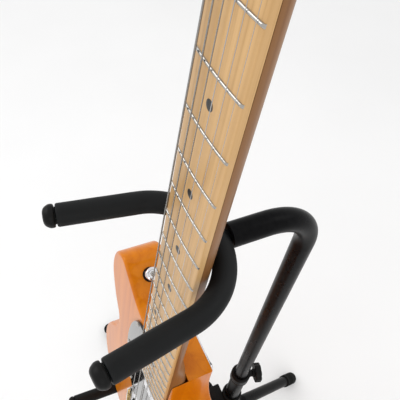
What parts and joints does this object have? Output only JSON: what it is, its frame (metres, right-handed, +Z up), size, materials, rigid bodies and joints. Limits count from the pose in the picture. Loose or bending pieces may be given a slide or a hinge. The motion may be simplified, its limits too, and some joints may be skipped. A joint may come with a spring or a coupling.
{
  "type": "guitar on stand",
  "caption": "Single-cutaway electric guitar with a maple neck, resting in a tripod floor stand with a foam-covered neck yoke, padded cradle arms and a clamped height tube.",
  "frame": {"origin": "bottom centre of the bounding box, on the floor, within 1 mm of where the axis of the stand's tube meets it", "axes": "+Z up; -Y the way the guitar faces; +X towards the guitar's treble side, the side of its cutaway"},
  "size_m": [0.638, 0.4507, 1.2347],
  "materials": {
    "stand_gloss_black": "gloss black enamel",
    "stand_plastic": "satin moulded black",
    "bar_steel": "zinc plated",
    "foam": "black closed-cell foam",
    "cap_plastic": "satin black",
    "rubber": "black rubber",
    "body_lacquer": "translucent amber-orange gloss lacquer",
    "neck_maple": "satin lacquered maple",
    "fretboard_maple": "satin lacquered maple",
    "nut_bone": "polished bone",
    "pickguard_black": "gloss black",
    "chrome": "polished",
    "pickup_black": "black",
    "saddle_brass": "turned",
    "switch_plastic": "black"
  },
  "bodies": {
    "stand_base": {"lower_tube": "stand_gloss_black", "tube_bottom_plug": "stand_plastic", "leg_collar": "stand_plastic", "leg_pin_rear": "bar_steel", "leg_pin_bass": "bar_steel", "leg_pin_treble": "bar_steel", "clamp_collar": "stand_plastic", "cradle_bracket": "stand_plastic", "cradle_bar": "stand_gloss_black", "cradle_foam_bass": "foam", "cradle_foam_treble": "foam", "cradle_cap_bass": "cap_plastic", "cradle_cap_treble": "cap_plastic"},
    "height_tube": {"upper_tube": "stand_gloss_black", "yoke_bar": "stand_gloss_black", "yoke_foam": "foam", "yoke_cap_bass": "cap_plastic", "yoke_cap_treble": "cap_plastic"},
    "clamp_knob": {"clamp_knob": "stand_plastic"},
    "leg_rear": {"leg_rear": "stand_gloss_black", "foot_rear": "rubber"},
    "leg_bass": {"leg_bass": "stand_gloss_black", "foot_bass": "rubber"},
    "leg_treble": {"leg_treble": "stand_gloss_black", "foot_treble": "rubber"},
    "guitar": {"guitar_body": "body_lacquer", "neck": "neck_maple", "fretboard": "fretboard_maple", "nut": "nut_bone", "pickguard": "pickguard_black", "neck_pickup": "chrome", "bridge_plate": "chrome", "bridge_pickup": "pickup_black", "saddle_bass": "saddle_brass", "saddle_middle": "saddle_brass", "saddle_treble": "saddle_brass", "control_plate": "chrome", "neck_plate": "chrome", "strap_button_upper": "chrome", "strap_button_end": "chrome", "jack_socket": "chrome", "tuner_strip": "chrome", "string_guide": "chrome"},
    "volume_knob": {"volume_knob": "chrome"},
    "tone_knob": {"tone_knob": "chrome"},
    "selector_lever": {"selector_lever": "switch_plastic"},
    "tuner_button_1": {"tuner_button_1": "chrome"},
    "tuner_post_1": {"tuner_post_1": "chrome"},
    "tuner_button_2": {"tuner_button_2": "chrome"},
    "tuner_post_2": {"tuner_post_2": "chrome"},
    "tuner_button_3": {"tuner_button_3": "chrome"},
    "tuner_post_3": {"tuner_post_3": "chrome"},
    "tuner_button_4": {"tuner_button_4": "chrome"},
    "tuner_post_4": {"tuner_post_4": "chrome"},
    "tuner_button_5": {"tuner_button_5": "chrome"},
    "tuner_post_5": {"tuner_post_5": "chrome"},
    "tuner_button_6": {"tuner_button_6": "chrome"},
    "tuner_post_6": {"tuner_post_6": "chrome"}
  },
  "joints": [
    {"name": "height_slide", "type": "slide", "parent": "stand_base", "child": "height_tube", "axis": [0, 0.0523, 0.9986], "range_m": [-0.06, 0]},
    {"name": "guitar_lift", "type": "slide", "parent": "stand_base", "child": "guitar", "axis": [-0.017, 0.1544, 0.9879], "range_m": [0, 0.04]},
    {"name": "clamp_turn", "type": "hinge", "parent": "stand_base", "child": "clamp_knob", "pos_m": [0, 0.02211, 0.42192], "axis": [0.309, 0.9498, -0.0498], "range_deg": [-360, 0]},
    {"name": "fold_rear", "type": "hinge", "parent": "stand_base", "child": "leg_rear", "pos_m": [-0.0039, 0.03818, 0.18526], "axis": [-0.9907, -0.1355, 0.0078], "range_deg": [0, 44]},
    {"name": "fold_bass", "type": "hinge", "parent": "stand_base", "child": "leg_bass", "pos_m": [-0.02632, -0.00164, 0.18734], "axis": [0.3987, -0.9157, 0.0498], "range_deg": [0, 55]},
    {"name": "fold_treble", "type": "hinge", "parent": "stand_base", "child": "leg_treble", "pos_m": [0.02632, -0.00164, 0.18734], "axis": [0.3987, 0.9157, -0.0498], "range_deg": [0, 55]},
    {"name": "tune_1", "type": "hinge", "parent": "guitar", "child": "tuner_button_1", "pos_m": [-0.02141, -0.00663, 1.08362], "axis": [-0.968, 0.021, 0.25], "continuous": true},
    {"name": "post_turn_1", "type": "hinge", "parent": "guitar", "child": "tuner_post_1", "pos_m": [-0.02131, -0.01179, 1.08443], "axis": [0.0185, -0.9878, 0.1547], "continuous": true},
    {"name": "tune_2", "type": "hinge", "parent": "guitar", "child": "tuner_button_2", "pos_m": [-0.0154, -0.00292, 1.10656], "axis": [-0.968, 0.021, 0.25], "continuous": true},
    {"name": "post_turn_2", "type": "hinge", "parent": "guitar", "child": "tuner_post_2", "pos_m": [-0.01531, -0.00809, 1.10737], "axis": [0.0185, -0.9878, 0.1547], "continuous": true},
    {"name": "tune_3", "type": "hinge", "parent": "guitar", "child": "tuner_button_3", "pos_m": [-0.0094, 0.00078, 1.1295], "axis": [-0.968, 0.021, 0.25], "continuous": true},
    {"name": "post_turn_3", "type": "hinge", "parent": "guitar", "child": "tuner_post_3", "pos_m": [-0.0093, -0.00439, 1.13031], "axis": [0.0185, -0.9878, 0.1547], "continuous": true},
    {"name": "tune_4", "type": "hinge", "parent": "guitar", "child": "tuner_button_4", "pos_m": [-0.0034, 0.00449, 1.15244], "axis": [-0.968, 0.021, 0.25], "continuous": true},
    {"name": "post_turn_4", "type": "hinge", "parent": "guitar", "child": "tuner_post_4", "pos_m": [-0.0033, -0.00068, 1.15325], "axis": [0.0185, -0.9878, 0.1547], "continuous": true},
    {"name": "tune_5", "type": "hinge", "parent": "guitar", "child": "tuner_button_5", "pos_m": [0.00261, 0.00819, 1.17538], "axis": [-0.968, 0.021, 0.25], "continuous": true},
    {"name": "post_turn_5", "type": "hinge", "parent": "guitar", "child": "tuner_post_5", "pos_m": [0.0027, 0.00302, 1.17619], "axis": [0.0185, -0.9878, 0.1547], "continuous": true},
    {"name": "tune_6", "type": "hinge", "parent": "guitar", "child": "tuner_button_6", "pos_m": [0.00861, 0.0119, 1.19832], "axis": [-0.968, 0.021, 0.25], "continuous": true},
    {"name": "post_turn_6", "type": "hinge", "parent": "guitar", "child": "tuner_post_6", "pos_m": [0.00871, 0.00673, 1.19913], "axis": [0.0185, -0.9878, 0.1547], "continuous": true},
    {"name": "volume_turn", "type": "hinge", "parent": "guitar", "child": "volume_knob", "pos_m": [0.10849, -0.13088, 0.42097], "axis": [0.0185, -0.9878, 0.1547], "range_deg": [-280, 0]},
    {"name": "tone_turn", "type": "hinge", "parent": "guitar", "child": "tone_knob", "pos_m": [0.10924, -0.13767, 0.37751], "axis": [0.0185, -0.9878, 0.1547], "range_deg": [-280, 0]},
    {"name": "selector_swing", "type": "hinge", "parent": "guitar", "child": "selector_lever", "pos_m": [0.10763, -0.11816, 0.46351], "axis": [0.9997, 0.0209, 0.014], "range_deg": [-16, 16]}
  ],
  "couplings": [
    {"joint": "post_turn_1", "follows": "tune_1", "ratio": 0.066667},
    {"joint": "post_turn_2", "follows": "tune_2", "ratio": 0.066667},
    {"joint": "post_turn_3", "follows": "tune_3", "ratio": 0.066667},
    {"joint": "post_turn_4", "follows": "tune_4", "ratio": 0.066667},
    {"joint": "post_turn_5", "follows": "tune_5", "ratio": 0.066667},
    {"joint": "post_turn_6", "follows": "tune_6", "ratio": 0.066667}
  ]
}
